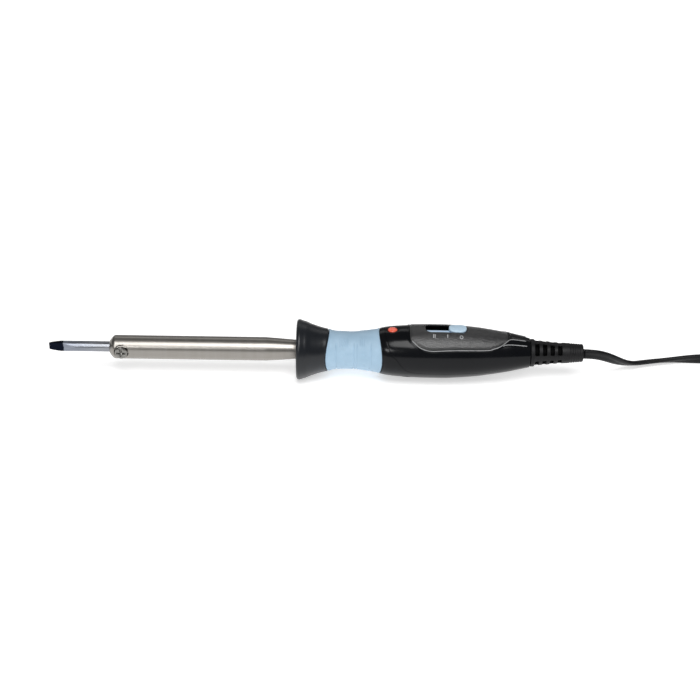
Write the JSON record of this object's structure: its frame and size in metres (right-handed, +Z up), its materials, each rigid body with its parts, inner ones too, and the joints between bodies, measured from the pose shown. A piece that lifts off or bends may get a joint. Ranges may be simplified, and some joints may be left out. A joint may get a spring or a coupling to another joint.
{
  "type": "soldering iron",
  "caption": "Pencil-shaped mains soldering iron with a chisel bit, round flared guard, soft grip, top slide switch, pilot lamp and a folded flat twin cord.",
  "frame": {"origin": "on the ground under the middle of the iron, from bit tip to strain relief end; the ground touches the guard's rim", "axes": "+X from the bit towards the cord, +Z up through the switch, the bit screw on the -Y side"},
  "size_m": [0.6172, 0.0453, 0.0346],
  "materials": {
    "plated_copper": "iron-plated copper, satin, dark tinned end",
    "plated_steel": "bright zinc plate",
    "barrel_steel": "polished stainless with fine turning marks",
    "mica": "rolled mica",
    "nichrome": "resistance wire",
    "ceramic": "unglazed ceramic",
    "sleeving": "woven glass sleeving",
    "collar_plastic": "semi-gloss heat-resistant plastic",
    "black_plastic": "gloss moulded",
    "blue_rubber": "satin soft grip with fine rings",
    "textured_plastic": "spark-grained",
    "pale_blue_plastic": "finely grained",
    "copper": "stamped copper",
    "board": "paper laminate",
    "lamp_glass": "clear",
    "red_lens": "translucent red-orange",
    "cord_sheath": "smooth twin sheath",
    "black_rubber": "matt moulded",
    "tie_strip": "plastic-coated strip",
    "plug_moulding": "moulded, semi-matt",
    "plug_brass": "stamped"
  },
  "bodies": {
    "iron": {"bit_socket": "barrel_steel", "barrel_tube": "barrel_steel", "inner_mica": "mica", "outer_mica": "mica", "heater_winding": "nichrome", "rear_bead": "ceramic", "heater_lead_1": "sleeving", "heater_lead_2": "sleeving", "collar": "collar_plastic", "collar_screw_1": "plated_steel", "collar_screw_2": "plated_steel", "collar_screw_3": "plated_steel", "grip_core": "black_plastic", "grip_sleeve": "blue_rubber", "lower_shell": "black_plastic", "upper_shell": "black_plastic", "shell_screw_1": "plated_steel", "shell_screw_2": "plated_steel", "shell_screw_3": "plated_steel", "shell_screw_4": "plated_steel", "switch_panel": "textured_plastic", "slot_rail": "pale_blue_plastic", "switch_body": "black_plastic", "switch_terminal_1": "copper", "switch_terminal_2": "copper", "switch_terminal_3": "copper", "circuit_board": "board", "diode": "black_plastic", "lamp_resistor": "ceramic", "indicator_lamp": "lamp_glass", "indicator_lens": "red_lens", "cord_clamp": "black_plastic", "clamp_screw_1": "plated_steel", "clamp_screw_2": "plated_steel", "mains_lead_1": "sleeving", "mains_lead_2": "sleeving", "cord_inner": "cord_sheath", "strain_relief": "black_rubber", "cord": "cord_sheath", "cord_hank": "cord_sheath", "cord_tail": "cord_sheath", "hank_tie": "tie_strip", "plug_body": "plug_moulding", "plug_blade_1": "plug_brass", "plug_blade_2": "plug_brass"},
    "bit": {"bit": "plated_copper"},
    "bit_screw": {"bit_screw": "plated_steel"},
    "switch": {"switch_knob": "pale_blue_plastic", "switch_contact": "copper"}
  },
  "joints": [
    {"name": "switch_slide", "type": "slide", "parent": "iron", "child": "switch", "axis": [-1, 0, 0], "range_m": [0, 0.013]},
    {"name": "bit_slide", "type": "slide", "parent": "iron", "child": "bit", "axis": [-1, 0, 0], "range_m": [0, 0.05]},
    {"name": "bit_screw_turn", "type": "hinge", "parent": "iron", "child": "bit_screw", "pos_m": [-0.1104, -0.006, 0.0173], "axis": [0, -1, 0], "range_deg": [0, 720]}
  ]
}
